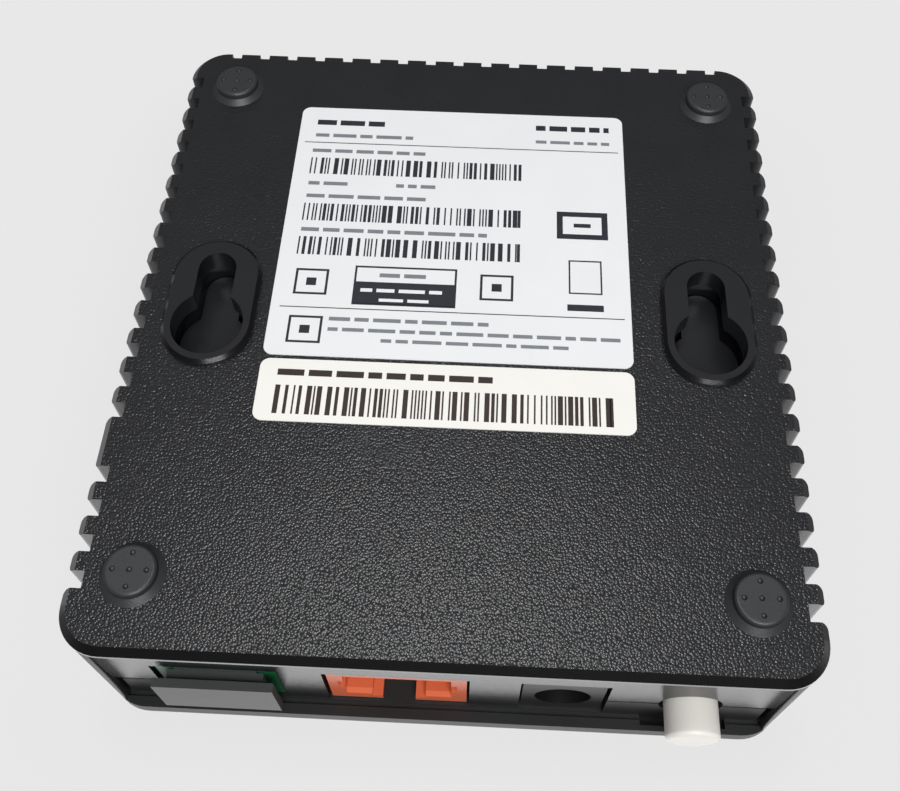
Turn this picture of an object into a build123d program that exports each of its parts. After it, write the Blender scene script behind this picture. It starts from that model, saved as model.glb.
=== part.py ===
from build123d import *
import math
import os

# Optical network terminal: a small desk or wall box that ends a fibre line.
# Millimetres. +Z is up, the four feet stand on Z = 0, the connector side faces -Y.

# Case: overall sizes
CASE_W = 76.9  # across the ribbed sides
CASE_D = 83.0  # connector side to back
CASE_H = 24.5  # underside of the base to the top of the lid
CORNER_R = 4.8  # plan radius of the four corners
EDGE_BEVEL = 0.8  # bevel round the underside
FLOOR_T = 1.8  # base plate
WALL_T = 1.5  # wall behind the grooves
LID_EDGE_H = 3.3  # visible height of the lid's edge
LID_SKIN_T = 1.7  # lid above the inside space
LID_EDGE_R = 1.4  # rounding of the lid's top edge
LID_LIP_H = 1.6  # how far the lid's lip reaches down inside the wall
LID_LIP_T = 1.1
SEAM_GAP = 0.15  # between the lid's lip and the base
TAB_GAP = 0.35  # between the lid's tabs and the base
SNAP_L = 8.0  # snap catches on the lid's lip
SNAP_H = 0.9
SNAP_BITE = 0.4
SNAP_SIDE_SPACING = 42.8  # between the two catches on a side wall
SNAP_BACK_SPACING = 39.2  # between the two catches on the back wall

# Upright grooves that leave the ribs standing on three sides
RIB_PITCH = 3.85
SIDE_GROOVES = 19
BACK_GROOVES = 18
SIDE_GROOVE_W = 1.8
BACK_GROOVE_W = 1.35
SIDE_GROOVE_DEPTH = 1.9
BACK_GROOVE_DEPTH = 1.5
SIDE_RIB_R = 0.6  # rounding of the rib corners
BACK_RIB_R = 0.8
RIB_R_STEPS = 4
PLAIN_RIB_INDEX = 4  # this groove, counted from the connector side, is missing on +X
GROOVE_ROW_SHIFT = 0.5  # the side rows sit this far behind the middle of the case

# Connector side
PANEL_RECESS = 1.75  # panel behind the rim and the corner posts
PANEL_T = 1.8
RIM_T = 1.3  # thin rim of the base plate over the recess
POST_W = 2.7  # corner posts left standing either side of the panel
POST_EDGE_R = 0.8
BUTTON_PROUD = 2.0  # button face beyond the rim

# Feet
FOOT_H = 1.5
FOOT_FLARE_R = 3.45  # where the foot meets the base
FOOT_FLARE_H = 0.6
FOOT_PAD_R = 2.75
FOOT_EDGE_R = 0.4
FOOT_PEG_R = 1.3
FOOT_PEG_H = 1.0
FOOT_PEG_GAP = 0.05
FOOT_SIDE_INSET = 6.85
FOOT_FRONT_INSET = 8.1
FOOT_BACK_INSET = 7.1
DIMPLE_R = 0.3
DIMPLE_SPACING = 1.75

# Keyholes for hanging on two screws
KEYHOLE_SPACING = 58.2
KEYHOLE_HEAD_R = 4.2  # round end that passes a screw head
KEYHOLE_SLOT_R = 2.25  # narrow end that holds the shank
KEYHOLE_TRAVEL = 7.6  # centre of the round end to centre of the narrow end
KEYHOLE_FRONT_INSET = 37.8  # rim to the centre of the round end
KEYHOLE_COLLAR = 1.15  # flat collar around the opening
KEYHOLE_COLLAR_TAIL = 0.9  # extra length of the collar past the narrow end
KEYHOLE_COLLAR_H = 1.0
KEYHOLE_COLLAR_FLARE = 0.4
KEYHOLE_DEPTH = 5.2  # collar face to the pad that stops the screw head
KEYHOLE_SIDE_ROOM = 0.5
CHAMBER_WALL = 1.2

# Labels
TYPE_LABEL_W = 42.5
TYPE_LABEL_D = 38.3
SERIAL_LABEL_D = 7.9
LABEL_GAP = 0.5
LABEL_T = 0.12
LABEL_R = 1.1
LABEL_X = 1.0
LABEL_FRONT_INSET = 26.0  # rim to the front edge of the serial label

# Circuit board and its screws
PCB_T = 1.6
PCB_CLEAR = 0.8  # board edge to wall
PIN_HOLE_GAP = 0.1
SCREW_HOLE_GAP = 0.15
PIN_REACH = 1.4  # pins below the board
SCREW_R = 1.0
SCREW_PILOT_GAP = 0.05
SCREW_LEN = 5.5
SCREW_HEAD_R = 1.9
SCREW_HEAD_H = 1.4
SCREW_RECESS_W = 0.5
SCREW_RECESS_L = 2.4
SCREW_RECESS_H = 0.6
BOSS_R = 2.8
SCREW_SIDE_INSET = 3.6  # board edge to screw
SCREW_BACK_INSET = 4.0
SCREW_ADAPTER_GAP = 0.6  # screw head to the back of the fibre adapter

# Connectors, from +X to -X
PORT_GAP = 0.3  # panel opening around each connector
PORT_SETBACK = 0.4  # connector faces behind the panel face
FIBRE_X = 24.4
ADAPTER_W = 13.0
ADAPTER_H = 9.7
ADAPTER_L = 20.0
MOUTH_W = 9.1
MOUTH_H = 7.5
MOUTH_DEPTH = 13.0
KEYWAY_W = 2.2
KEYWAY_H = 0.7
FERRULE_R = 1.25
FERRULE_BEVEL = 0.3
FERRULE_LEAD = 7.4  # adapter face to the ferrule's tip
SLEEVE_T = 0.6
SLEEVE_L = 4.6
MODULE_W = 9.0
MODULE_H = 8.6
MODULE_L = 9.5
MODULE_BEVEL = 0.6
MODULE_CAN_R = 2.3
MODULE_CAN_L = 4.0
LAN_X = 4.9
LAN_W = 15.2
LAN_H = 10.4
LAN_L = 16.0
LAN_MOUTH_W = 11.8
LAN_MOUTH_H = 6.3
LAN_MOUTH_DEPTH = 12.5
LAN_FLOOR = 1.9  # board to the bottom of the mouth
LAN_STEP_W = 6.0
LAN_STEP_H = 1.2
LAN_LATCH_W = 3.7
LAN_NICK_W = 0.6
LAN_NICK_H = 2.0
LAN_NICK_UP = 2.1
LAN_LATCH_L = 8.0
LAN_LEAD_IN = 0.5
LAN_CONTACTS = 8
LAN_CONTACT_PITCH = 1.02
LAN_CONTACT_T = 0.35
LAN_CONTACT_SETBACK = 2.6
LAN_CONTACT_RUN = 6.5
LAN_CONTACT_RISE = 1.5
LAN_CONTACT_FOLD = 2.0  # length of the doubled wire where the finger bends back
LAN_TAIL_INSET = 1.6
LAN_TAIL_ROW = 2.2
LAN_TAIL_HOLE_R = 0.35
DC_X = -13.25
DC_W = 9.0
DC_H = 10.4
DC_L = 14.2
DC_AXIS_UP = 5.9
DC_BORE_R = 3.1
DC_BORE_DEPTH = 9.6
DC_PIN_R = 1.0
DC_PIN_SETBACK = 1.0
DC_EDGE_BEVEL = 0.55
DC_PIN_BEVEL = 0.35
DC_TAIL_R = 0.5
DC_TAIL_SPACING = 6.0
DC_TAIL_INSET = 1.6
DC_SIDE_TAIL_X = 2.8

# Power switch and its button
BUTTON_X = -27.1
SWITCH_AXIS_UP = 5.1  # board to the button's axis
AXIS_DROP = 5.5  # lid's ledge to the button's axis
SWITCH_W = 8.5
SWITCH_H = 8.6
SWITCH_L = 12.0
SWITCH_EDGE_BEVEL = 0.3
SWITCH_BACK = 2.2  # button's back end to the switch, beyond the travel
BUTTON_R = 2.95
BUTTON_HOLE_GAP = 0.5
BUTTON_L = 7.6
BUTTON_EDGE_R = 0.5
BUTTON_TRAVEL = 2.0
SWITCH_TAIL_R = 0.4
SWITCH_TAIL_X = 2.6
SWITCH_TAIL_PITCH = 3.2
SWITCH_STRAP_T = 0.4
SWITCH_STRAP_L = 5.0
STEM_W = 3.0
STEM_GAP = 0.08
STEM_GRIP = 3.0  # stem inside the button
STEM_DEPTH = 3.0  # stem inside the switch at rest
BUTTON_RELIEF_W = 9.6  # finger relief in the lid's ledge
BUTTON_RELIEF_D = 1.15
BUTTON_RELIEF_H = 1.4
LEDGE_GROOVE_W = 0.6
LEDGE_GROOVE_H = 0.3

# Dust cap in the fibre port
CAP_PLUG_GAP = 0.1
CAP_PLUG_L = 6.4
CAP_BODY_W = 10.4
CAP_BODY_H = 6.6
CAP_BODY_L = 1.15
CAP_FLANGE_W = 13.0
CAP_FLANGE_H = 8.1
CAP_FLANGE_T = 0.95
CAP_FACE_GAP = 0.1
CAP_PLUG_BEVEL = 0.5

# Lid indicators
LED_COUNT = 4
LED_PITCH = 9.0
LED_W = 1.6
LED_H = 0.8
LED_BACK_INSET = 11.0
PIPE_R = 1.1
PIPE_COLLAR_R = 1.8
PIPE_COLLAR_H = 1.0
PIPE_AIR = 0.5
PIPE_HOLE_GAP = 0.05

# Board parts: width, depth, height
CPU = (14.0, 14.0, 1.3)
PAD_T = 0.5
SINK = (22.0, 22.0, 7.0)
SINK_BASE_T = 1.6
SINK_FINS = 7
SINK_FIN_T = 1.2
MEMORY = (9.0, 13.0, 1.1)
FLASH = (6.0, 8.0, 1.2)
TRANSFORMER = (16.5, 9.5, 5.6)
COIL = (7.0, 7.0, 4.2)
COIL_TOP_R = 2.9
COIL_TOP_H = 0.4
COIL_EDGE_BEVEL = 0.8
CAPACITOR_R = 3.15
CAPACITOR_H = 7.7
CAPACITOR_EDGE_R = 0.4
CAPACITOR_BASE_H = 0.9
CRYSTAL = (11.0, 4.7, 3.4)
DRIVER = (5.0, 5.0, 0.9)
CHIP_LEG = (0.3, 0.9, 0.25)
LEG_PITCH = 1.27
MEMORY_LEGS = 9  # legs on each long side
FLASH_LEGS = 4
TRANSFORMER_LEGS = 6

# Places of the board parts
CPU_X, CPU_Y = 0.0, 10.0
MEMORY_X, MEMORY_Y = -20.5, 14.0
FLASH_X, FLASH_Y = 20.5, 16.0
DRIVER_X, DRIVER_Y = 15.5, -5.0
TRANSFORMER_Y = -13.5
CRYSTAL_X, CRYSTAL_Y = 0.0, -5.0
COIL_PLACES = ((-13.5, -16.5), (-13.5, -7.5))
CAPACITOR_PLACES = ((-22.5, -12.0), (-22.5, -4.0), (-22.5, 26.0))

# Levels and planes that follow from the sizes above
BASE_Z = FOOT_H
FLOOR_Z = BASE_Z + FLOOR_T
TOP_Z = BASE_Z + CASE_H
LEDGE_Z = TOP_Z - LID_EDGE_H
AXIS_Z = LEDGE_Z - AXIS_DROP
BOARD_Z = AXIS_Z - SWITCH_AXIS_UP
PCB_Z = BOARD_Z - PCB_T
CHAMBER_TOP_Z = PCB_Z - PIN_REACH - CHAMBER_WALL
PAD_Z = BASE_Z - KEYHOLE_COLLAR_H + KEYHOLE_DEPTH
RIM_Y = BUTTON_PROUD - (CASE_D + BUTTON_PROUD) / 2
BACK_Y = RIM_Y + CASE_D
MID_Y = (RIM_Y + BACK_Y) / 2
PANEL_Y = RIM_Y + PANEL_RECESS
FACE_Y = PANEL_Y + PORT_SETBACK
ROOM_W = CASE_W - 2 * (SIDE_GROOVE_DEPTH + WALL_T)
ROOM_FRONT_Y = PANEL_Y + PANEL_T
ROOM_BACK_Y = BACK_Y - BACK_GROOVE_DEPTH - WALL_T
ROOM_R = 2.5
BUTTON_FACE_Y = RIM_Y - BUTTON_PROUD
SEAM_Z = AXIS_Z
KEYHOLE_Y = RIM_Y + KEYHOLE_FRONT_INSET
POST_X = CASE_W / 2 - POST_W
TAB_X = POST_X - TAB_GAP
OVER = 1.0  # how far a cutting shape runs past what it cuts


def box(x0, x1, y0, y1, z0, z1):
    """Box between two corners."""
    middle = ((x0 + x1) / 2, (y0 + y1) / 2, (z0 + z1) / 2)
    return Pos(*middle) * Box(x1 - x0, y1 - y0, z1 - z0)


def block(x, y, z, size):
    """Box standing on height z, centred on x and y."""
    return Pos(x, y, z + size[2] / 2) * Box(*size)


def rod(x, y, z0, z1, radius):
    """Upright cylinder."""
    return Pos(x, y, (z0 + z1) / 2) * Cylinder(radius, z1 - z0)


def rod_y(x, z, y0, y1, radius):
    """Cylinder lying along Y."""
    return Pos(x, (y0 + y1) / 2, z) * Rot(90, 0, 0) * Cylinder(radius, y1 - y0)


def plate(width, depth, radius, x, y, z0, z1):
    """Upright prism with a rounded rectangular plan."""
    return Pos(x, y, z0) * extrude(RectangleRounded(width, depth, radius), amount=z1 - z0)


def save(name, shape):
    """Write one named piece, however many separate solids it has."""
    solids = shape if isinstance(shape, list) else shape.solids()
    whole = solids[0] if len(solids) == 1 else Compound(children=list(solids))
    export_step(whole, f"parts/{name}.step")


def screw_places():
    """The four places where the board is screwed to the base."""
    side = ROOM_W / 2 - PCB_CLEAR - SCREW_SIDE_INSET
    front = FACE_Y + ADAPTER_L + SCREW_ADAPTER_GAP + SCREW_HEAD_R
    rows = (front, ROOM_BACK_Y - PCB_CLEAR - SCREW_BACK_INSET)
    return [(sign * side, y) for y in rows for sign in (-1, 1)]


def foot_places():
    side = CASE_W / 2 - FOOT_SIDE_INSET
    rows = (RIM_Y + FOOT_FRONT_INSET, BACK_Y - FOOT_BACK_INSET)
    return [(sign * side, y) for y in rows for sign in (-1, 1)]


def led_places():
    y = ROOM_BACK_Y - LED_BACK_INSET
    return [((i - (LED_COUNT - 1) / 2) * LED_PITCH, y) for i in range(LED_COUNT)]


def keyhole(grow, z0, z1):
    """Keyhole outline, grown sideways: round end, narrow end and the neck between."""
    head = rod(0, 0, z0, z1, KEYHOLE_HEAD_R + grow)
    tip = rod(0, KEYHOLE_TRAVEL, z0, z1, KEYHOLE_SLOT_R + grow)
    half = KEYHOLE_SLOT_R + grow
    return head + tip + box(-half, half, 0, KEYHOLE_TRAVEL, z0, z1)


def racetrack(radius, tail, z0, z1):
    """Long round-ended prism that takes in the whole keyhole, and a tail past its narrow end."""
    reach = KEYHOLE_TRAVEL + KEYHOLE_SLOT_R + tail
    length = KEYHOLE_HEAD_R + reach + 2 * (radius - KEYHOLE_HEAD_R)
    middle = (reach - KEYHOLE_HEAD_R) / 2
    sketch = SlotOverall(length, 2 * radius, rotation=90)
    return Pos(0, middle, z0) * extrude(sketch, amount=z1 - z0)


def keyhole_places():
    return [Pos(sign * KEYHOLE_SPACING / 2, KEYHOLE_Y, 0) for sign in (-1, 1)]


def groove(width, depth, rounding):
    """Groove cutter at the origin, opening towards +X, that rounds the rib corners beside it."""
    half = width / 2
    turns = [math.pi / 2 * i / RIB_R_STEPS for i in range(RIB_R_STEPS + 1)]
    tip = [(rounding * (math.sin(a) - 1), half + rounding * (1 - math.cos(a))) for a in turns]
    upper = [(-depth, half), *tip, (OVER, half + rounding)]
    lower = [(x, -y) for x, y in reversed(upper)]
    prism = extrude(Polygon(*upper, *lower, align=None), amount=LEDGE_Z - BASE_Z + 2 * OVER, dir=(0, 0, 1))
    return Pos(0, 0, BASE_Z - OVER) * prism


def groove_cutters():
    side = groove(SIDE_GROOVE_W, SIDE_GROOVE_DEPTH, SIDE_RIB_R)
    back = groove(BACK_GROOVE_W, BACK_GROOVE_DEPTH, BACK_RIB_R)
    cutters = []
    for i in range(SIDE_GROOVES):
        y = MID_Y + GROOVE_ROW_SHIFT + (i - (SIDE_GROOVES - 1) / 2) * RIB_PITCH
        cutters.append(Pos(-CASE_W / 2, y, 0) * Rot(0, 0, 180) * side)
        if i != PLAIN_RIB_INDEX:
            cutters.append(Pos(CASE_W / 2, y, 0) * side)
    for i in range(BACK_GROOVES):
        x = (i - (BACK_GROOVES - 1) / 2) * RIB_PITCH
        cutters.append(Pos(x, BACK_Y, 0) * Rot(0, 0, 90) * back)
    return cutters


def port_cutter(x, width):
    """Panel opening for one connector, open upwards to the lid's ledge."""
    half = width / 2 + PORT_GAP
    return box(x - half, x + half, PANEL_Y - OVER, ROOM_FRONT_Y + OVER, BOARD_Z - PORT_GAP, LEDGE_Z + OVER)


def tab_spans():
    """X ranges of the two parts of the panel that belong to the lid."""
    fibre_edge = FIBRE_X + ADAPTER_W / 2 + PORT_GAP
    dc_edge = DC_X - DC_W / 2 - PORT_GAP
    return [(-TAB_X, dc_edge), (fibre_edge, TAB_X)]


def button_hole():
    return rod_y(BUTTON_X, AXIS_Z, PANEL_Y - OVER, ROOM_FRONT_Y + OVER, BUTTON_R + BUTTON_HOLE_GAP)


def post_rounding(sign):
    """Cutter that rounds the inner front edge of a corner post."""
    r = POST_EDGE_R
    past_corner = POST_X - (CASE_W / 2 - CORNER_R)
    edge_y = RIM_Y + CORNER_R - (CORNER_R**2 - past_corner**2) ** 0.5
    z0, z1 = BASE_Z + RIM_T, LEDGE_Z + OVER
    corner = box(POST_X - OVER, POST_X + r, edge_y - OVER, edge_y + r, z0, z1)
    corner -= rod(POST_X + r, edge_y + r, z0 - OVER, z1 + OVER, r)
    return corner if sign > 0 else mirror(corner, about=Plane.YZ)


def make_base_shell():
    shell = plate(CASE_W, CASE_D, CORNER_R, 0, MID_Y, BASE_Z, LEDGE_Z)
    shell = chamfer(shell.faces().sort_by(Axis.Z)[0].edges(), EDGE_BEVEL)
    shell -= groove_cutters()
    shell -= box(-POST_X, POST_X, RIM_Y - OVER, PANEL_Y, BASE_Z + RIM_T, LEDGE_Z + OVER)
    for sign in (-1, 1):
        shell -= post_rounding(sign)
    room_d = ROOM_BACK_Y - ROOM_FRONT_Y
    room_y = (ROOM_BACK_Y + ROOM_FRONT_Y) / 2
    shell -= plate(ROOM_W, room_d, ROOM_R, 0, room_y, FLOOR_Z, LEDGE_Z + OVER)
    for x, width in ((FIBRE_X, ADAPTER_W), (LAN_X, LAN_W), (DC_X, DC_W)):
        shell -= port_cutter(x, width)
    for x0, x1 in tab_spans():
        low = x0 - TAB_GAP if x0 < 0 else x0
        high = x1 + TAB_GAP if x1 > 0 else x1
        shell -= box(low, high, PANEL_Y - OVER, ROOM_FRONT_Y + OVER, SEAM_Z, LEDGE_Z + OVER)
    shell -= button_hole()
    for x, y in screw_places():
        shell += rod(x, y, FLOOR_Z, PCB_Z, BOSS_R)
        shell -= rod(x, y, BOARD_Z - SCREW_LEN - OVER, PCB_Z + OVER, SCREW_R + SCREW_PILOT_GAP)
    for place in keyhole_places():
        collar_z = BASE_Z - KEYHOLE_COLLAR_H
        collar = racetrack(KEYHOLE_HEAD_R + KEYHOLE_COLLAR, KEYHOLE_COLLAR_TAIL, collar_z, BASE_Z)
        shell += place * chamfer(collar.faces().sort_by(Axis.Z)[0].edges(), KEYHOLE_COLLAR_FLARE)
        room = KEYHOLE_HEAD_R + KEYHOLE_SIDE_ROOM
        shell += place * racetrack(room + CHAMBER_WALL, 0, FLOOR_Z, CHAMBER_TOP_Z + CHAMBER_WALL)
        shell -= place * racetrack(room, 0, FLOOR_Z, CHAMBER_TOP_Z)
        shell -= place * keyhole(0, collar_z - OVER, FLOOR_Z)
        shell += place * keyhole(0, PAD_Z, CHAMBER_TOP_Z)
    for x, y in foot_places():
        shell -= rod(x, y, BASE_Z - OVER, BASE_Z + FOOT_PEG_H + FOOT_PEG_GAP, FOOT_PEG_R + FOOT_PEG_GAP)
    for place in snap_places():
        shell -= place * box(-SNAP_L / 2 - SEAM_GAP, SNAP_L / 2 + SEAM_GAP, -SNAP_BITE - SEAM_GAP, OVER,
                             LEDGE_Z - LID_LIP_H - SEAM_GAP, LEDGE_Z - LID_LIP_H + SNAP_H + SEAM_GAP)
    return shell


def snap_places():
    """Frames on the inner wall, X along the wall and Y into the room."""
    room_y = (ROOM_BACK_Y + ROOM_FRONT_Y) / 2
    places = []
    for sign in (-1, 1):
        for y in (room_y - SNAP_SIDE_SPACING / 2, room_y + SNAP_SIDE_SPACING / 2):
            places.append(Pos(sign * ROOM_W / 2, y, 0) * Rot(0, 0, 90 * sign))
        places.append(Pos(sign * SNAP_BACK_SPACING / 2, ROOM_BACK_Y, 0) * Rot(0, 0, 180))
    return places


def make_lid():
    lid = plate(CASE_W, CASE_D, CORNER_R, 0, MID_Y, LEDGE_Z, TOP_Z)
    lid = fillet(lid.faces().sort_by(Axis.Z)[-1].edges(), LID_EDGE_R)
    room_d = ROOM_BACK_Y - ROOM_FRONT_Y
    room_y = (ROOM_BACK_Y + ROOM_FRONT_Y) / 2
    lip_z = LEDGE_Z - LID_LIP_H
    lip = plate(ROOM_W - 2 * SEAM_GAP, room_d - 2 * SEAM_GAP, ROOM_R - SEAM_GAP, 0, room_y, lip_z, LEDGE_Z)
    hollow = SEAM_GAP + LID_LIP_T
    lid += lip
    lid -= plate(ROOM_W - 2 * hollow, room_d - 2 * hollow, ROOM_R - hollow, 0, room_y,
                 lip_z - OVER, TOP_Z - LID_SKIN_T)
    lid -= box(-CASE_W / 2, CASE_W / 2, ROOM_FRONT_Y, ROOM_FRONT_Y + ROOM_R + OVER, lip_z - OVER, LEDGE_Z)
    for x0, x1 in tab_spans():
        lid += box(x0, x1, PANEL_Y, ROOM_FRONT_Y, SEAM_Z + TAB_GAP, LEDGE_Z)
    lid -= button_hole()
    lid -= box(-POST_X, POST_X, PANEL_Y - LEDGE_GROOVE_W, PANEL_Y,
               LEDGE_Z - SEAM_GAP, LEDGE_Z + LEDGE_GROOVE_H)
    relief_x = BUTTON_RELIEF_W / 2
    lid -= box(BUTTON_X - relief_x, BUTTON_X + relief_x, PANEL_Y - BUTTON_RELIEF_D, PANEL_Y,
               LEDGE_Z - SEAM_GAP, LEDGE_Z + BUTTON_RELIEF_H)
    for place in snap_places():
        lid += place * box(-SNAP_L / 2, SNAP_L / 2, -SNAP_BITE, SEAM_GAP + LID_LIP_T / 2,
                           lip_z, lip_z + SNAP_H)
    for x, y in led_places():
        lid -= rod(x, y, LEDGE_Z, TOP_Z + OVER, PIPE_R + PIPE_HOLE_GAP)
    return lid


def make_feet():
    feet = []
    for x, y in foot_places():
        foot = rod(x, y, 0, BASE_Z + FOOT_PEG_H, FOOT_PEG_R)
        pad = rod(x, y, 0, BASE_Z, FOOT_PAD_R)
        foot += fillet(pad.faces().sort_by(Axis.Z)[0].edges(), FOOT_EDGE_R)
        foot += Pos(x, y, BASE_Z - FOOT_FLARE_H / 2) * Cone(FOOT_PAD_R, FOOT_FLARE_R, FOOT_FLARE_H)
        for dx, dy in ((0, 0), (1, 0), (-1, 0), (0, 1), (0, -1)):
            foot -= Pos(x + dx * DIMPLE_SPACING, y + dy * DIMPLE_SPACING, 0) * Sphere(DIMPLE_R)
        feet.append(foot.solid())
    return feet


def make_label(depth, front_inset):
    y = RIM_Y + front_inset + depth / 2
    return plate(TYPE_LABEL_W, depth, LABEL_R, LABEL_X, y, BASE_Z - LABEL_T, BASE_Z)


def lan_pins():
    """Tail positions of the network jack: two staggered rows."""
    back = FACE_Y + LAN_L - LAN_TAIL_INSET
    middle = (LAN_CONTACTS - 1) / 2
    return [
        (LAN_X + (i - middle) * LAN_CONTACT_PITCH, back - (i % 2) * LAN_TAIL_ROW)
        for i in range(LAN_CONTACTS)
    ]


def dc_pins():
    back = FACE_Y + DC_L - DC_TAIL_INSET
    side = (DC_X + DC_SIDE_TAIL_X, back - DC_TAIL_SPACING / 2)
    return [(DC_X, back), (DC_X, back - DC_TAIL_SPACING), side]


def switch_front():
    """Front face of the power switch, clear of the button when it is pressed."""
    return BUTTON_FACE_Y + BUTTON_L + BUTTON_TRAVEL + SWITCH_BACK


def switch_pins():
    middle = switch_front() + SWITCH_L / 2
    rows = (middle - SWITCH_TAIL_PITCH, middle, middle + SWITCH_TAIL_PITCH)
    return [(BUTTON_X + sign * SWITCH_TAIL_X, row) for row in rows for sign in (-1, 1)]


def make_board():
    side = ROOM_W / 2 - PCB_CLEAR
    board = box(-side, side, ROOM_FRONT_Y + PCB_CLEAR, ROOM_BACK_Y - PCB_CLEAR, PCB_Z, BOARD_Z)
    holes = [(place, SCREW_R + SCREW_HOLE_GAP) for place in screw_places()]
    holes += [(place, LAN_TAIL_HOLE_R) for place in lan_pins()]
    holes += [(place, DC_TAIL_R + PIN_HOLE_GAP) for place in dc_pins()]
    holes += [(place, SWITCH_TAIL_R + PIN_HOLE_GAP) for place in switch_pins()]
    return board - [rod(*place, PCB_Z - OVER, BOARD_Z + OVER, radius) for place, radius in holes]


def make_screws():
    screws = []
    for x, y in screw_places():
        head = rod(x, y, BOARD_Z, BOARD_Z + SCREW_HEAD_H, SCREW_HEAD_R)
        head = chamfer(head.faces().sort_by(Axis.Z)[-1].edges(), SCREW_RECESS_W / 2)
        screw = head + rod(x, y, BOARD_Z - SCREW_LEN, BOARD_Z, SCREW_R)
        recess_z = BOARD_Z + SCREW_HEAD_H - SCREW_RECESS_H
        screw -= block(x, y, recess_z, (SCREW_RECESS_L, SCREW_RECESS_W, SCREW_RECESS_H + OVER))
        screw -= block(x, y, recess_z, (SCREW_RECESS_W, SCREW_RECESS_L, SCREW_RECESS_H + OVER))
        screws.append(screw.solid())
    return screws


def make_lan_housing():
    mouth_z = BOARD_Z + LAN_FLOOR
    step_z = mouth_z + LAN_MOUTH_H
    nick_z = mouth_z + LAN_NICK_UP
    top_z = BOARD_Z + LAN_H
    back_y = FACE_Y + LAN_L
    mouth_back = FACE_Y + LAN_MOUTH_DEPTH
    jack = box(LAN_X - LAN_W / 2, LAN_X + LAN_W / 2, FACE_Y, back_y, BOARD_Z, top_z)
    openings = [
        (LAN_MOUTH_W, mouth_z, step_z, mouth_back),
        (LAN_STEP_W, step_z - OVER, step_z + LAN_STEP_H, mouth_back),
        (LAN_LATCH_W, step_z, top_z + OVER, FACE_Y + LAN_LATCH_L),
        (LAN_MOUTH_W + 2 * LAN_NICK_W, nick_z, nick_z + LAN_NICK_H, mouth_back),
    ]
    for width, z0, z1, y1 in openings:
        jack -= box(LAN_X - width / 2, LAN_X + width / 2, FACE_Y - OVER, y1, z0, z1)
    wedge = Plane.YZ * Polygon((0, 0), (LAN_LEAD_IN, 0), (0, LAN_LEAD_IN), align=None)
    lead_in = extrude(wedge, amount=LAN_MOUTH_W / 2, both=True)
    jack -= Pos(LAN_X, FACE_Y, step_z) * lead_in
    wires = LAN_CONTACTS * LAN_CONTACT_PITCH
    return jack - box(LAN_X - wires / 2, LAN_X + wires / 2, mouth_back - OVER, back_y + OVER,
                      BOARD_Z - OVER, mouth_z + LAN_CONTACT_RISE)


def make_lan_contacts():
    """Sprung wires: a tail through the board, a run along the mouth and a finger bent back over it."""
    t = LAN_CONTACT_T
    low = BOARD_Z + LAN_FLOOR
    front = FACE_Y + LAN_CONTACT_SETBACK
    tip_y = front + LAN_CONTACT_RUN
    tip_z = low + t + LAN_CONTACT_RISE
    contacts = []
    for x, y in lan_pins():
        outline = Polygon(
            (front, low),
            (y - t / 2, low),
            (y - t / 2, PCB_Z - PIN_REACH),
            (y + t / 2, PCB_Z - PIN_REACH),
            (y + t / 2, low + t),
            (front + LAN_CONTACT_FOLD, low + t),
            (tip_y, tip_z - t),
            (tip_y, tip_z),
            align=None,
        )
        wire = extrude(Plane.YZ * outline, amount=t / 2, both=True)
        contacts.append((Pos(x, 0, 0) * wire).solid())
    return contacts


def make_dc_jack():
    axis_z = BOARD_Z + DC_AXIS_UP
    body = box(DC_X - DC_W / 2, DC_X + DC_W / 2, FACE_Y, FACE_Y + DC_L, BOARD_Z, BOARD_Z + DC_H)
    body = chamfer(body.edges().filter_by(Axis.Y).sort_by(Axis.Z)[-2:], DC_EDGE_BEVEL)
    body -= rod_y(DC_X, axis_z, FACE_Y - OVER, FACE_Y + DC_BORE_DEPTH, DC_BORE_R)
    return body - rod_y(DC_X, axis_z, FACE_Y + DC_BORE_DEPTH - OVER, FACE_Y + DC_L + OVER, DC_PIN_R)


def make_dc_pin():
    axis_z = BOARD_Z + DC_AXIS_UP
    pin = rod_y(DC_X, axis_z, FACE_Y + DC_PIN_SETBACK, FACE_Y + DC_L, DC_PIN_R)
    return chamfer(pin.faces().sort_by(Axis.Y)[0].edges(), DC_PIN_BEVEL)


def make_tails(pins, radius):
    """Round solder tails from under a part down through the board."""
    return [rod(x, y, PCB_Z - PIN_REACH, BOARD_Z, radius) for x, y in pins]


def make_switch():
    front = switch_front()
    half = SWITCH_W / 2
    body = box(BUTTON_X - half, BUTTON_X + half, front, front + SWITCH_L, BOARD_Z, BOARD_Z + SWITCH_H)
    body = chamfer(body.edges().filter_by(Axis.Y), SWITCH_EDGE_BEVEL)
    well = STEM_W / 2 + STEM_GAP
    depth = STEM_DEPTH + BUTTON_TRAVEL + OVER
    return body - box(BUTTON_X - well, BUTTON_X + well, front - OVER, front + depth,
                      AXIS_Z - well, AXIS_Z + well)


def make_switch_strap():
    """Metal strap bent over the switch, clear of its front."""
    t = SWITCH_STRAP_T
    y0 = switch_front() + (SWITCH_L - SWITCH_STRAP_L) / 2
    top = BOARD_Z + SWITCH_H
    half = SWITCH_W / 2
    y1 = y0 + SWITCH_STRAP_L
    outer = box(BUTTON_X - half - t, BUTTON_X + half + t, y0, y1, BOARD_Z, top + t)
    inner = box(BUTTON_X - half, BUTTON_X + half, y0 - OVER, y1 + OVER, BOARD_Z - OVER, top)
    return outer - inner


def make_stem():
    back = switch_front() + STEM_DEPTH
    half = STEM_W / 2
    y0 = BUTTON_FACE_Y + BUTTON_L - STEM_GRIP
    return box(BUTTON_X - half, BUTTON_X + half, y0, back, AXIS_Z - half, AXIS_Z + half)


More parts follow.
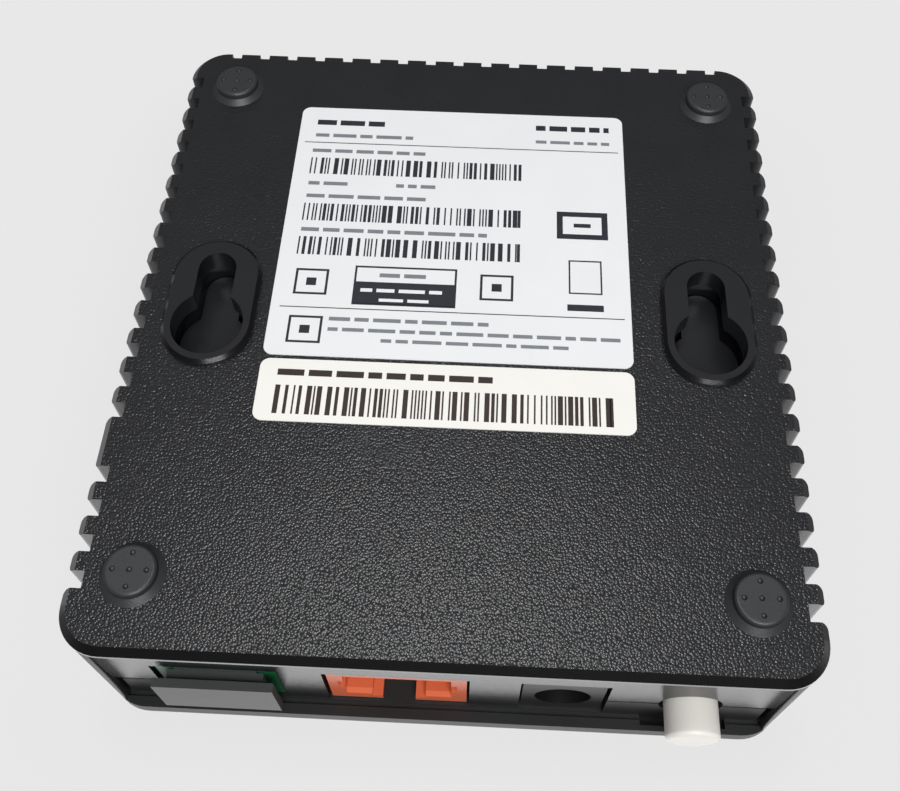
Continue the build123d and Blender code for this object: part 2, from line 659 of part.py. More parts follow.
def make_button():
    back = BUTTON_FACE_Y + BUTTON_L
    button = rod_y(BUTTON_X, AXIS_Z, BUTTON_FACE_Y, back, BUTTON_R)
    button = fillet(button.faces().sort_by(Axis.Y)[0].edges(), BUTTON_EDGE_R)
    half = STEM_W / 2
    return button - box(BUTTON_X - half, BUTTON_X + half, back - STEM_GRIP, back + OVER,
                        AXIS_Z - half, AXIS_Z + half)


def make_adapter():
    back = FACE_Y + ADAPTER_L
    low = AXIS_Z - ADAPTER_H / 2
    body = box(FIBRE_X - ADAPTER_W / 2, FIBRE_X + ADAPTER_W / 2, FACE_Y, back, low, low + ADAPTER_H)
    mouth_back = FACE_Y + MOUTH_DEPTH
    half_w = MOUTH_W / 2
    half_h = MOUTH_H / 2
    body -= box(FIBRE_X - half_w, FIBRE_X + half_w, FACE_Y - OVER, mouth_back,
                AXIS_Z - half_h, AXIS_Z + half_h)
    body -= box(FIBRE_X - KEYWAY_W / 2, FIBRE_X + KEYWAY_W / 2, FACE_Y - OVER, mouth_back,
                AXIS_Z + half_h - OVER, AXIS_Z + half_h + KEYWAY_H)
    return body - rod_y(FIBRE_X, AXIS_Z, mouth_back - OVER, back + OVER, FERRULE_R + SLEEVE_T)


def make_sleeve():
    start = FACE_Y + FERRULE_LEAD + SLEEVE_T
    tube = rod_y(FIBRE_X, AXIS_Z, start, start + SLEEVE_L, FERRULE_R + SLEEVE_T)
    return tube - rod_y(FIBRE_X, AXIS_Z, start - OVER, start + SLEEVE_L + OVER, FERRULE_R)


def make_ferrule():
    tip = FACE_Y + FERRULE_LEAD
    ferrule = rod_y(FIBRE_X, AXIS_Z, tip, FACE_Y + ADAPTER_L, FERRULE_R)
    return chamfer(ferrule.faces().sort_by(Axis.Y)[0].edges(), FERRULE_BEVEL)


def make_optical_module():
    front = FACE_Y + ADAPTER_L
    low = AXIS_Z - MODULE_H / 2
    body = box(FIBRE_X - MODULE_W / 2, FIBRE_X + MODULE_W / 2, front, front + MODULE_L, low, low + MODULE_H)
    body = chamfer(body.edges().filter_by(Axis.Y), MODULE_BEVEL)
    can = rod_y(FIBRE_X, AXIS_Z, front + MODULE_L, front + MODULE_L + MODULE_CAN_L, MODULE_CAN_R)
    return body + can


def make_dust_cap():
    front = FACE_Y - CAP_FACE_GAP
    plug_w = MOUTH_W / 2 - CAP_PLUG_GAP
    plug_h = MOUTH_H / 2 - CAP_PLUG_GAP
    neck_y = front - CAP_BODY_L
    flange_y = neck_y - CAP_FLANGE_T
    plug = box(FIBRE_X - plug_w, FIBRE_X + plug_w, front, FACE_Y + CAP_PLUG_L,
               AXIS_Z - plug_h, AXIS_Z + plug_h)
    plug = chamfer(plug.faces().sort_by(Axis.Y)[-1].edges(), CAP_PLUG_BEVEL)
    half_w = CAP_BODY_W / 2
    half_h = CAP_BODY_H / 2
    neck = box(FIBRE_X - half_w, FIBRE_X + half_w, neck_y, front, AXIS_Z - half_h, AXIS_Z + half_h)
    half_w = CAP_FLANGE_W / 2
    half_h = CAP_FLANGE_H / 2
    flange = box(FIBRE_X - half_w, FIBRE_X + half_w, flange_y, neck_y, AXIS_Z - half_h, AXIS_Z + half_h)
    return plug + neck + flange


def make_light_pipes():
    led_top = BOARD_Z + LED_H + PIPE_AIR
    collar_z = TOP_Z - LID_SKIN_T - PIPE_COLLAR_H
    pipes = []
    for x, y in led_places():
        pipe = rod(x, y, led_top, TOP_Z, PIPE_R)
        pipe += rod(x, y, collar_z, collar_z + PIPE_COLLAR_H, PIPE_COLLAR_R)
        pipes.append(pipe.solid())
    return pipes


def make_heat_sink():
    x, y = CPU_X, CPU_Y
    width, depth, height = SINK
    z = BOARD_Z + CPU[2] + PAD_T
    sink = block(x, y, z, (width, depth, SINK_BASE_T))
    step = (width - SINK_FIN_T) / (SINK_FINS - 1)
    for i in range(SINK_FINS):
        fin_x = x - width / 2 + SINK_FIN_T / 2 + i * step
        sink += block(fin_x, y, z + SINK_BASE_T, (SINK_FIN_T, depth, height - SINK_BASE_T))
    return sink


def make_chip(x, y, size, legs_per_side):
    """Flat package with a row of gull legs down each long side."""
    width, depth, height = size
    leg_w, leg_l, leg_t = CHIP_LEG
    chip = block(x, y, BOARD_Z, size)
    for i in range(legs_per_side):
        leg_y = y + (i - (legs_per_side - 1) / 2) * LEG_PITCH
        for sign in (-1, 1):
            chip += block(x + sign * (width + leg_l) / 2, leg_y, BOARD_Z, (leg_l, leg_w, leg_t))
    return chip


def make_capacitors():
    cans = []
    for x, y in CAPACITOR_PLACES:
        base = block(x, y, BOARD_Z, (2 * CAPACITOR_R, 2 * CAPACITOR_R, CAPACITOR_BASE_H))
        can = rod(x, y, BOARD_Z + CAPACITOR_BASE_H, BOARD_Z + CAPACITOR_H, CAPACITOR_R)
        can = fillet(can.faces().sort_by(Axis.Z)[-1].edges(), CAPACITOR_EDGE_R)
        cans.append((base + can).solid())
    return cans


def make_coils():
    coils = []
    for x, y in COIL_PLACES:
        core = block(x, y, BOARD_Z, COIL)
        core = chamfer(core.edges().filter_by(Axis.Z), COIL_EDGE_BEVEL)
        core += rod(x, y, BOARD_Z + COIL[2], BOARD_Z + COIL[2] + COIL_TOP_H, COIL_TOP_R)
        coils.append(core.solid())
    return coils


def make_crystal():
    length, depth, height = CRYSTAL
    sketch = SlotOverall(length, depth)
    return Pos(CRYSTAL_X, CRYSTAL_Y, BOARD_Z) * extrude(sketch, amount=height)


os.makedirs("parts", exist_ok=True)
save("base_shell", make_base_shell())
save("lid", make_lid())
save("feet", make_feet())
save("type_label", make_label(TYPE_LABEL_D, LABEL_FRONT_INSET + SERIAL_LABEL_D + LABEL_GAP))
save("serial_label", make_label(SERIAL_LABEL_D, LABEL_FRONT_INSET))
save("circuit_board", make_board())
save("board_screws", make_screws())
save("network_jack", make_lan_housing())
save("network_contacts", make_lan_contacts())
save("power_jack", make_dc_jack())
save("power_jack_pin", make_dc_pin())
save("power_jack_tails", make_tails(dc_pins(), DC_TAIL_R))
save("power_switch", make_switch())
save("switch_strap", make_switch_strap())
save("switch_tails", make_tails(switch_pins(), SWITCH_TAIL_R))
save("switch_stem", make_stem())
save("power_button", make_button())
save("fibre_adapter", make_adapter())
save("fibre_sleeve", make_sleeve())
save("fibre_ferrule", make_ferrule())
save("optical_module", make_optical_module())
save("dust_cap", make_dust_cap())
save("light_pipes", make_light_pipes())
save("leds", [block(x, y, BOARD_Z, (LED_W, LED_W, LED_H)) for x, y in led_places()])
save("processor", block(CPU_X, CPU_Y, BOARD_Z, CPU))
save("thermal_pad", block(CPU_X, CPU_Y, BOARD_Z + CPU[2], (CPU[0], CPU[1], PAD_T)))
save("heat_sink", make_heat_sink())
save("memory_chip", make_chip(MEMORY_X, MEMORY_Y, MEMORY, MEMORY_LEGS))
save("flash_chip", make_chip(FLASH_X, FLASH_Y, FLASH, FLASH_LEGS))
save("laser_driver", block(DRIVER_X, DRIVER_Y, BOARD_Z, DRIVER))
save("line_transformer", make_chip(LAN_X, TRANSFORMER_Y, TRANSFORMER, TRANSFORMER_LEGS))
save("coils", make_coils())
save("capacitors", make_capacitors())
save("crystal", make_crystal())
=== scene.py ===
import random

import bpy
from mathutils import Matrix, Vector


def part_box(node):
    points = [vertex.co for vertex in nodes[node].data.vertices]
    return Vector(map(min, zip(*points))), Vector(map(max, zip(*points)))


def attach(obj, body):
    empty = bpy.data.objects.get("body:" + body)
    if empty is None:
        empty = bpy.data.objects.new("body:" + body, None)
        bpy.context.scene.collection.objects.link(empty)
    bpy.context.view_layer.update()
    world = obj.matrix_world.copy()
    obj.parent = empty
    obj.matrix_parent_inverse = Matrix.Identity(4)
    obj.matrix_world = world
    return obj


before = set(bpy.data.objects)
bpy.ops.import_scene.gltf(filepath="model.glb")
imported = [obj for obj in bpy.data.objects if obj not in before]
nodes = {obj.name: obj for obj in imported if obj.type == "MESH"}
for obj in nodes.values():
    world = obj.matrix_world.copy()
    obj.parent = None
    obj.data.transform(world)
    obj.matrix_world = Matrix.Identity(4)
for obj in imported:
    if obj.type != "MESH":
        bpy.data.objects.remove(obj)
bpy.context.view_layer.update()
MM = 0.001

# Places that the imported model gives. The labels lie on the base plate and face -Z.
base_lo, base_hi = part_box("base_shell")
type_lo, type_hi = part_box("type_label")
serial_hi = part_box("serial_label")[1]
LID_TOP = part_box("lid")[1].z
LABEL_FACE = type_lo.z
PLATE_FACE = type_hi.z

# Case texture, from the sizes on a real moulding tool. The pebbles are drawn a little larger than
# life, because at their own size they would be too fine to show.
PEBBLE = 0.28 * MM
PEBBLE_RISE = 0.042 * MM
SPARK = 0.15 * MM
SPARK_RISE = 0.008 * MM
LEVEL_SLACK = 0.2 * MM
FACES_DOWN = -0.97  # normals below this belong to flat faces of the underside
LEANS_DOWN = -0.25  # normals below this also take in the bevels

# Labels, in mm
INK_H = 0.008 * MM
BAR_MODULE = 0.19
WORD_SHORT, WORD_LONG, WORD_GAP = 1.0, 3.4, 0.5
SEED = 4

# Studio
CAMERA_WORLD = 0.807  # what the camera sees past the floor
STRAIGHT_DOWN = 0.35  # light from below, for everything but the camera
LOW_LEVEL, HIGH_LEVEL = 0.1, 0.35  # round the horizon, and above it
OVERHEAD = 1.3  # extra, from straight above
CARD_SPREAD = 30 * MM
CARD_SHADE_STRENGTH = 0.14
CARD_GAP = 0.05 * MM

# Camera under the part, looking up at its base, with the back of the part at the top of the view
CAMERA_PLACE = (-0.003007, -0.068516, -0.107161)
CAMERA_RIGHT = (-0.998952, 0.045688, -0.002577)
CAMERA_UP = (0.039354, 0.829002, -0.55786)
CAMERA_LENS = 43.793
CAMERA_SHIFT = (-0.01099, -0.12222)
CAMERA_NEAR = 0.005


def colour(code):
    """Turns an sRGB hex code into the linear colour that a shader takes."""
    parts = [int(code[i:i + 2], 16) / 255 for i in (0, 2, 4)]
    linear = [v / 12.92 if v <= 0.04045 else ((v + 0.055) / 1.055) ** 2.4 for v in parts]
    return (*linear, 1.0)


def add(material, kind, inputs, **settings):
    """Adds one node, with its settings and with a value or a link for each input named."""
    tree = material.node_tree
    node = tree.nodes.new(kind)
    for key, value in settings.items():
        setattr(node, key, value)
    for socket, value in inputs.items():
        if isinstance(value, bpy.types.NodeSocket):
            tree.links.new(value, node.inputs[socket])
        else:
            node.inputs[socket].default_value = value
    return node


def new_finish(name, roughness, metallic=0.0, ior=1.5):
    """Starts a material: its shader with the values that are the same all over."""
    material = bpy.data.materials.new(name)
    material.use_nodes = True
    shader = material.node_tree.nodes["Principled BSDF"]
    shader.inputs["Roughness"].default_value = roughness
    shader.inputs["Metallic"].default_value = metallic
    shader.inputs["IOR"].default_value = ior
    return material, shader


def mottle(material, shader, dark, light, size):
    """Cloudy change of colour between two close shades, with patches of the given size in metres."""
    place = add(material, "ShaderNodeTexCoord", {}).outputs["Object"]
    cloud = add(material, "ShaderNodeTexNoise", {"Vector": place, "Scale": 1 / size, "Detail": 3.0})
    ramp = add(material, "ShaderNodeMix",
               {"Factor": cloud.outputs["Fac"], "A": colour(dark), "B": colour(light)}, data_type="RGBA")
    material.node_tree.links.new(ramp.outputs[2], shader.inputs["Base Color"])
    return place


def moulded(name, dark, light, roughness, grain, depth, patch=6 * MM, ior=1.5):
    """Moulded plastic: cloudy colour, and the fine even texture that the tool leaves."""
    material, shader = new_finish(name, roughness, ior=ior)
    place = mottle(material, shader, dark, light, patch)
    spark = add(material, "ShaderNodeTexNoise", {"Vector": place, "Scale": 1 / grain, "Detail": 2.0})
    bump = add(material, "ShaderNodeBump", {"Height": spark.outputs["Fac"], "Distance": depth, "Strength": 1.0})
    material.node_tree.links.new(bump.outputs["Normal"], shader.inputs["Normal"])
    return material


def plated(name, dark, light, roughness, scratch, stretch=(1, 1, 1)):
    """Metal: slight change of shade and fine tool marks drawn out along one direction."""
    material, shader = new_finish(name, roughness, metallic=1.0)
    place = mottle(material, shader, dark, light, 2 * MM)
    drawn = add(material, "ShaderNodeMapping", {"Vector": place, "Scale": stretch})
    marks = add(material, "ShaderNodeTexNoise",
                {"Vector": drawn.outputs["Vector"], "Scale": 1 / scratch, "Detail": 3.0})
    bump = add(material, "ShaderNodeBump",
               {"Height": marks.outputs["Fac"], "Distance": 0.01 * MM, "Strength": 0.4})
    material.node_tree.links.new(bump.outputs["Normal"], shader.inputs["Normal"])
    return material


def grained_abs():
    """Black ABS moulding: pebbled leather grain underneath, bevels painted almost black as painted shade, and
    fine spark texture elsewhere.
    """
    material, shader = new_finish("Black ABS, leather grained", 0.24)
    place = mottle(material, shader, "1A1B1D", "212225", 5 * MM)
    facing = add(material, "ShaderNodeSeparateXYZ",
                 {"Vector": add(material, "ShaderNodeNewGeometry", {}).outputs["True Normal"]})
    under = add(material, "ShaderNodeMath", {0: facing.outputs["Z"], 1: FACES_DOWN}, operation="LESS_THAN")
    depth = add(material, "ShaderNodeSeparateXYZ", {"Vector": place})
    at_plate = add(material, "ShaderNodeMath",
                       {0: depth.outputs["Z"], 1: PLATE_FACE, 2: LEVEL_SLACK}, operation="COMPARE")
    plate = add(material, "ShaderNodeMath", {0: under.outputs[0], 1: at_plate.outputs[0]},
                operation="MULTIPLY")
    tilted = add(material, "ShaderNodeMath", {0: facing.outputs["Z"], 1: LEANS_DOWN}, operation="LESS_THAN")
    # painted shade: the polished bevels round the underside and round the keyholes are painted almost black,
    # standing for the dark that they reflect
    bevel_shade_mask = add(material, "ShaderNodeMath", {0: tilted.outputs[0], 1: under.outputs[0]}, operation="SUBTRACT")
    cloud = shader.inputs["Base Color"].links[0].from_socket
    bevel_shaded_colour = add(material, "ShaderNodeMix",
               {"Factor": bevel_shade_mask.outputs[0], "A": cloud, "B": colour("070708")}, data_type="RGBA")
    material.node_tree.links.new(bevel_shaded_colour.outputs[2], shader.inputs["Base Color"])
    # domed pebbles: each one catches the lamp at a point of its own, so the base glitters
    pebble = add(material, "ShaderNodeTexVoronoi", {"Vector": place, "Scale": 1 / PEBBLE}, feature="F1")
    dome = add(material, "ShaderNodeMath", {0: pebble.outputs["Distance"], 1: 2.0}, operation="POWER")
    leather = add(material, "ShaderNodeMath", {0: 1.0, 1: dome.outputs[0]}, operation="SUBTRACT")
    coarse = add(material, "ShaderNodeMath", {0: leather.outputs[0], 1: plate.outputs[0]}, operation="MULTIPLY")
    leather_bump = add(material, "ShaderNodeBump",
                       {"Height": coarse.outputs[0], "Distance": PEBBLE_RISE, "Strength": 1.0})
    # fine spark texture, all that the walls, the panel and the keyhole collars have
    spark = add(material, "ShaderNodeTexNoise", {"Vector": place, "Scale": 1 / SPARK, "Detail": 2.0})
    bump = add(material, "ShaderNodeBump",
               {"Height": spark.outputs["Fac"], "Distance": SPARK_RISE, "Strength": 1.0,
                "Normal": leather_bump.outputs["Normal"]})
    material.node_tree.links.new(bump.outputs["Normal"], shader.inputs["Normal"])
    return material


MATERIALS = {
    # ABS shells: near-black, the base glittering where its grain catches a lamp, the lid duller
    "base_shell": grained_abs(),
    "lid": moulded("Black ABS, fine satin", "18191A", "1F2021", 0.5, 0.15 * MM, 0.012 * MM),
    # rubber: a softer, greyer black than the shells
    "feet": moulded("Black foot rubber, matt", "2A2B2E", "323336", 0.42, 0.2 * MM, 0.012 * MM),
    # labels: flat white film, and a slightly yellower paper
    "type_label": moulded("White film label, laminated", "E9EAEC", "F0F1F2", 0.35, 0.6 * MM, 0.002 * MM),
    "serial_label": moulded("Warm white paper label", "F0EEE8", "F7F5F0", 0.45, 0.4 * MM, 0.003 * MM),
    # board: deep green lacquer with a wet shine
    "circuit_board": moulded(
        "Green solder mask on glass laminate", "0F3D22", "14502C", 0.3, 0.5 * MM, 0.01 * MM),
    "board_screws": plated("Zinc plated steel", "9A9A98", "B4B4B2", 0.35, 0.3 * MM),
    # network jack: strong orange plastic with bright gold wires
    "network_jack": moulded("Orange PBT, satin", "D9653F", "E3734D", 0.3, 0.3 * MM, 0.006 * MM),
    "network_contacts": plated("Gold plated phosphor bronze", "C9A44A", "DDBB62", 0.25, 0.2 * MM, (1, 0.1, 1)),
    # power jack: black nylon round a bright pin
    "power_jack": moulded("Black nylon, satin", "101011", "18181A", 0.38, 0.2 * MM, 0.01 * MM),
    "power_jack_pin": plated("Nickel plated brass", "B8B6B0", "C8C6C0", 0.2, 0.3 * MM, (1, 0.1, 1)),
    "power_jack_tails": plated("Tinned brass", "A5A5A2", "B9B9B6", 0.4, 0.3 * MM),
    # switch: dull black body held by bright tinned strip
    "power_switch": moulded("Black glass filled nylon", "141415", "1C1C1E", 0.55, 0.3 * MM, 0.02 * MM),
    "switch_strap": plated("Tinned steel strip", "A2A29E", "B6B6B2", 0.35, 0.3 * MM, (1, 0.1, 1)),
    "switch_tails": plated("Tinned copper", "A8A6A2", "BAB8B4", 0.4, 0.3 * MM),
    # fibre port: dark green moulding round white ground ceramic
    "fibre_adapter": moulded("Green ABS, satin", "115A35", "17663D", 0.35, 0.25 * MM, 0.006 * MM),
    "fibre_sleeve": moulded("Zirconia sleeve, ground", "E4E3DD", "EFEEE9", 0.3, 0.1 * MM, 0.003 * MM, ior=2.1),
    "fibre_ferrule": moulded(
        "Zirconia ferrule, polished", "E9E8E2", "F2F1EC", 0.15, 0.1 * MM, 0.001 * MM, ior=2.1),
    "optical_module": plated("Machined stainless steel", "9C9890", "AFABA3", 0.3, 0.3 * MM, (0.1, 1, 1)),
    # lamps, chips and passive parts: clear domes, dull black moulding compound, bright cans
    "leds": moulded("Clear epoxy lens on white body", "DAD7C4", "E8E5D4", 0.2, 0.3 * MM, 0.003 * MM),
    "processor": moulded("Black moulding compound, lasered", "161617", "1F1F20", 0.6, 0.1 * MM, 0.01 * MM),
    "thermal_pad": moulded("Blue-grey silicone pad", "5E6B80", "6C788C", 0.7, 0.4 * MM, 0.02 * MM),
    "heat_sink": plated("Black anodised aluminium", "2A2B2D", "343537", 0.5, 0.4 * MM, (1, 0.1, 1)),
    "memory_chip": moulded("Black moulding compound, memory", "171718", "202021", 0.55, 0.1 * MM, 0.01 * MM),
    "flash_chip": moulded("Black moulding compound, flash", "161617", "1E1E1F", 0.55, 0.1 * MM, 0.01 * MM),
    "laser_driver": moulded("Black moulding compound, driver", "151516", "1E1E1F", 0.55, 0.1 * MM, 0.01 * MM),
    "line_transformer": moulded(
        "Black phenolic transformer case", "1A1A1B", "242425", 0.5, 0.3 * MM, 0.015 * MM),
    "coils": moulded("Grey moulded ferrite", "3A3A3C", "474749", 0.65, 0.2 * MM, 0.02 * MM),
    "capacitors": plated("Bare aluminium can", "B6B7B9", "C6C7C9", 0.3, 0.3 * MM, (1, 1, 0.1)),
    "crystal": plated("Nickel steel crystal can", "ABAAA6", "BDBCB8", 0.25, 0.3 * MM),
    # button: warm white satin; its stem is a cooler white
    "power_button": moulded("Warm white ABS, satin", "EDEAE2", "F3F0E9", 0.38, 0.25 * MM, 0.004 * MM),
    "switch_stem": moulded("White acetal", "D6D4CE", "E0DED8", 0.4, 0.25 * MM, 0.004 * MM),
    # cap: a waxy dark grey, lighter than the shells
    "dust_cap": moulded("Dark grey polyethylene, satin", "3A3B3B", "444545", 0.48, 0.3 * MM, 0.012 * MM),
}
# light pipes: clear, showing as small pale dots in the lid
clear, clear_shader = new_finish("Clear polycarbonate", 0.08, ior=1.585)
clear_shader.inputs["Transmission Weight"].default_value = 0.9
mottle(clear, clear_shader, "E6EBEC", "F2F5F5", 3 * MM)
MATERIALS["light_pipes"] = clear

for node, material in MATERIALS.items():
    mesh = nodes[node].data
    mesh.materials.clear()
    mesh.materials.append(material)


# Print on the labels. Sizes are in mm from a label's left and top edges, as it is read.
random.seed(SEED)


class Print:
    """One ink on one label, laid down as thin solid bars."""

    def __init__(self, name, corner, material, slot, lift=1):
        self.corner = corner
        self.lift = lift * INK_H
        bpy.ops.object.select_all(action="DESELECT")
        bpy.ops.mesh.primitive_cube_add(size=0.1 * MM, location=(corner.x - MM, corner.y - MM, LABEL_FACE))
        self.piece = bpy.context.object
        self.piece.name = name
        self.piece.data.materials.append(material)
        self.slot = slot
        bpy.ops.object.mode_set(mode="EDIT")
        bpy.ops.mesh.delete(type="VERT")

    def bar(self, left, right, top, bottom):
        """One solid bar, half in the label and half proud of it."""
        middle = ((left + right) / 2 * MM, (top + bottom) / 2 * MM)
        bpy.ops.mesh.primitive_cube_add(
            size=1, location=(self.corner.x - middle[0], self.corner.y - middle[1], LABEL_FACE),
            scale=((right - left) * MM, (bottom - top) * MM, 2 * self.lift))

    def words(self, left, right, top, bottom, weight):
        """A printed line as plain dashes: no letters."""
        inset = (bottom - top) * (1 - weight) / 2
        at = left
        while at < right - WORD_GAP:
            end = min(at + random.uniform(WORD_SHORT, WORD_LONG), right)
            self.bar(at, end, top + inset, bottom - inset)
            at = end + WORD_GAP

    def stripes(self, left, right, top, bottom):
        """A stripe code of random widths that stands for nothing."""
        at = left
        while at < right - 3 * BAR_MODULE:
            width = random.choice((1, 1, 1, 2, 3)) * BAR_MODULE
            self.bar(at, at + width, top, bottom)
            at += width + random.choice((1, 1, 2, 3)) * BAR_MODULE
        self.bar(right - 2 * BAR_MODULE, right, top, bottom)

    def outline(self, left, right, top, bottom, line):
        """A plain box drawn with one line."""
        self.bar(left, right, top, top + line)
        self.bar(left, right, bottom - line, bottom)
        self.bar(left, left + line, top + line, bottom - line)
        self.bar(right - line, right, top + line, bottom - line)

    def done(self):
        bpy.ops.object.mode_set(mode="OBJECT")
        bpy.ops.object.transform_apply(location=True, rotation=True, scale=True)
        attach(self.piece, "case")


# inks: a cool black, the same thinned to grey for small print, and a brown black
dark_ink = moulded("Blue-black thermal print", "23262E", "2B2E37", 0.35, 0.2 * MM, 0.001 * MM, 1 * MM)
grey_ink = moulded("Grey thermal print", "767A80", "868A90", 0.35, 0.2 * MM, 0.001 * MM, 1 * MM)
brown_ink = moulded("Brown-black ribbon print", "2A1C1C", "362525", 0.4, 0.2 * MM, 0.001 * MM, 1 * MM)

type_corner = Vector((type_hi.x, type_hi.y, LABEL_FACE))
serial_corner = Vector((serial_hi.x, serial_hi.y, LABEL_FACE))

dark = Print("type_print", type_corner, dark_ink, "type_label_paper")
for top in (8.7, 16.2, 21.4):
    dark.stripes(2.1, 29.3, top, top + 2.7)
dark.words(2.2, 11.3, 1.9, 3.3, 0.62)
dark.words(31.1, 40.7, 1.6, 3.0, 0.62)
for left, right, level in ((0.9, 41.8, 6.05), (1.1, 41.7, 31.65)):
    dark.bar(left, right, level, level + 0.13)
for left, top in ((2.4, 26.2), (24.6, 26.1), (2.4, 32.9)):
    dark.outline(left, left + 4.0, top, top + 3.7, 0.3)
    dark.bar(left + 1.4, left + 2.6, top + 1.3, top + 2.4)
dark.outline(9.5, 21.8, 25.5, 31.1, 0.26)
dark.bar(9.76, 21.54, 27.8, 30.9)
dark.outline(33.8, 40.1, 16.1, 20.3, 0.75)
dark.bar(35.9, 38.0, 17.9, 18.5)
dark.outline(35.2, 39.2, 23.5, 28.4, 0.2)
dark.bar(35.0, 39.3, 29.9, 30.8)
dark.done()

grey = Print("type_print_fine", type_corner, grey_ink, "type_label_paper")
for left, right, top, bottom in (
    (2.2, 15.7, 4.3, 5.4), (31.1, 40.7, 4.2, 5.2), (2.1, 17.5, 6.95, 8.05), (2.2, 8.1, 12.4, 13.5),
    (13.4, 18.4, 12.4, 13.5), (2.2, 17.3, 14.45, 15.55), (2.2, 25.2, 19.75, 20.85), (12.5, 18.9, 26.25, 27.35),
    (7.1, 25.8, 32.7, 33.7), (7.1, 41.1, 34.15, 35.1), (13.4, 35.1, 35.5, 36.4),
):
    grey.words(left, right, top, bottom, 0.52)
grey.done()

white = Print("type_print_reversed", type_corner, MATERIALS["type_label"], "type_label_paper", lift=2)
white.words(10.4, 21.0, 28.6, 29.4, 0.6)
white.words(12.7, 18.6, 30.0, 30.7, 0.6)
white.done()

brown = Print("serial_print", serial_corner, brown_ink, "serial_label_paper")
brown.words(2.1, 26.5, 1.1, 2.4, 0.62)
brown.stripes(2.1, 40.0, 3.4, 7.0)
brown.done()

# Stage: a pale floor under the feet that only a camera above it sees, and the same for the lid's side.
def one_sided(name, code, half_x, half_y, middle_y, spread, most):
    """Matt pale surface, clear from behind, that fades out over a spread round a rectangle."""
    material, shader = new_finish(name, 0.9)
    shader.inputs["Specular IOR Level"].default_value = 0.0
    place = add(material, "ShaderNodeTexCoord", {}).outputs["Object"]
    parts = add(material, "ShaderNodeSeparateXYZ", {"Vector": place})
    beyond = []
    for axis, middle, half in (("X", 0.0, half_x), ("Y", middle_y, half_y)):
        off = add(material, "ShaderNodeMath", {0: parts.outputs[axis], 1: middle}, operation="SUBTRACT")
        size = add(material, "ShaderNodeMath", {0: off.outputs[0]}, operation="ABSOLUTE")
        past = add(material, "ShaderNodeMath", {0: size.outputs[0], 1: half}, operation="SUBTRACT")
        beyond.append(add(material, "ShaderNodeMath", {0: past.outputs[0], 1: 0.0}, operation="MAXIMUM"))
    gap = add(material, "ShaderNodeCombineXYZ", {"X": beyond[0].outputs[0], "Y": beyond[1].outputs[0]})
    reach = add(material, "ShaderNodeVectorMath", {0: gap.outputs[0]}, operation="LENGTH")
    fade = add(material, "ShaderNodeMapRange",
               {"Value": reach.outputs["Value"], "From Min": 0.0, "From Max": spread, "To Min": most,
                "To Max": 0.0}, interpolation_type="SMOOTHSTEP")
    shader.inputs["Base Color"].default_value = colour(code)
    behind = add(material, "ShaderNodeNewGeometry", {}).outputs["Backfacing"]
    front = add(material, "ShaderNodeMath", {0: 1.0, 1: behind}, operation="SUBTRACT")
    shown = add(material, "ShaderNodeMath", {0: front.outputs[0], 1: fade.outputs["Result"]},
                operation="MULTIPLY")
    clear_side = add(material, "ShaderNodeBsdfTransparent", {})
    mix = add(material, "ShaderNodeMixShader",
              {0: shown.outputs[0], 1: clear_side.outputs[0], 2: shader.outputs[0]})
    out = material.node_tree.nodes["Material Output"]
    material.node_tree.links.new(mix.outputs[0], out.inputs["Surface"])
    return material


def pale_sheet(name, size, height, turned, material):
    bpy.ops.mesh.primitive_plane_add(size=size, location=(0, 0, height))
    sheet = bpy.context.object
    sheet.name = name
    if turned:
        bpy.ops.object.mode_set(mode="EDIT")
        bpy.ops.mesh.flip_normals()
        bpy.ops.object.mode_set(mode="OBJECT")
    sheet.data.materials.append(material)
    sheet.visible_shadow = False
    sheet.visible_diffuse = False
    sheet.visible_glossy = False
    sheet.visible_transmission = False


case_x = base_hi.x
case_y = (base_hi.y - base_lo.y) / 2
middle_y = (base_hi.y + base_lo.y) / 2
pale_sheet("floor", 6.0, 0.0, False, one_sided("Pale studio floor", "E9E9E9", 1.0, 1.0, 0.0, 1.8, 1.0))
# the card takes the case's real shadow, and because it is lit more dimly than the backdrop, its fade round the
# case outline also paints a soft darker halo: painted shadow
pale_sheet("back_card", 0.4, LID_TOP + CARD_GAP, True,
           one_sided("Pale card", "DCDCDC", case_x, case_y, middle_y, CARD_SPREAD, CARD_SHADE_STRENGTH))

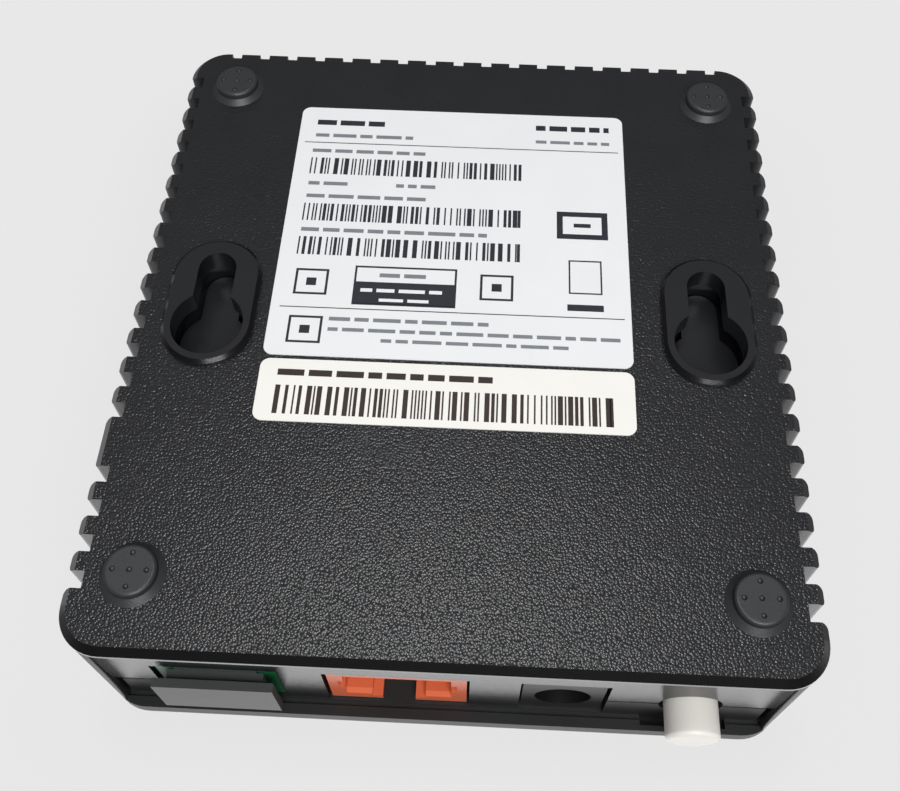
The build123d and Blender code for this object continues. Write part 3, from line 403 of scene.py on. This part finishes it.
# World: pale to the camera. As light and in reflections it is dim round the horizon, brightest overhead.
world = bpy.data.worlds.new("studio")
bpy.context.scene.world = world
world.use_nodes = True
sky = world.node_tree.nodes["Background"]
direction = add(world, "ShaderNodeSeparateXYZ",
                {"Vector": add(world, "ShaderNodeTexCoord", {}).outputs["Generated"]})
band = add(world, "ShaderNodeMapRange", {"Value": direction.outputs["Z"], "From Min": -0.95, "From Max": -0.3})
low = add(world, "ShaderNodeMapRange", {"Value": direction.outputs["Z"], "From Min": -0.12, "From Max": 0.1,
                                        "To Min": LOW_LEVEL, "To Max": HIGH_LEVEL})
side = add(world, "ShaderNodeMix",
           {"Factor": band.outputs["Result"], "A": STRAIGHT_DOWN, "B": low.outputs["Result"]})
zenith = add(world, "ShaderNodeMapRange", {"Value": direction.outputs["Z"], "From Min": 0.7, "From Max": 0.95,
                                           "To Min": 0.0, "To Max": OVERHEAD})
around = add(world, "ShaderNodeMath", {0: side.outputs[0], 1: zenith.outputs["Result"]}, operation="ADD")
to_camera = add(world, "ShaderNodeLightPath", {}).outputs["Is Camera Ray"]
level = add(world, "ShaderNodeMix", {"Factor": to_camera, "A": around.outputs[0], "B": CAMERA_WORLD})
world.node_tree.links.new(level.outputs[0], sky.inputs["Strength"])
sky.inputs["Color"].default_value = (1.0, 1.0, 1.0, 1.0)


def soft_light(name, place, aim, size, power):
    lamp = bpy.data.lights.new(name, "AREA")
    lamp.size = size
    lamp.energy = power
    holder = bpy.data.objects.new(name, lamp)
    bpy.context.scene.collection.objects.link(holder)
    holder.location = place
    holder.rotation_euler = (Vector(aim) - Vector(place)).to_track_quat("-Z", "Y").to_euler()


soft_light("lamp_below", (0.02, 0.06, -0.6), (0, 0, 0), 0.12, 0.85)
soft_light("lamp_front", (-0.1, -0.45, -0.5), (0, -0.02, 0), 0.4, 3.9)
soft_light("lamp_left", (-0.7, -0.1, 0.35), (0, 0, 0.01), 0.5, 0.5)
soft_light("lamp_right", (0.7, 0.35, 0.35), (0, 0, 0.01), 0.5, 0.5)

camera = bpy.data.objects.new("camera", bpy.data.cameras.new("camera"))
bpy.context.scene.collection.objects.link(camera)
right = Vector(CAMERA_RIGHT)
up = Vector(CAMERA_UP)
turn = Matrix((right, up, right.cross(up))).transposed()
camera.matrix_world = Matrix.Translation(CAMERA_PLACE) @ turn.to_4x4()
camera.data.lens = CAMERA_LENS
camera.data.shift_x, camera.data.shift_y = CAMERA_SHIFT
camera.data.clip_start = CAMERA_NEAR
bpy.context.scene.camera = camera
bpy.context.scene.view_settings.view_transform = "Standard"
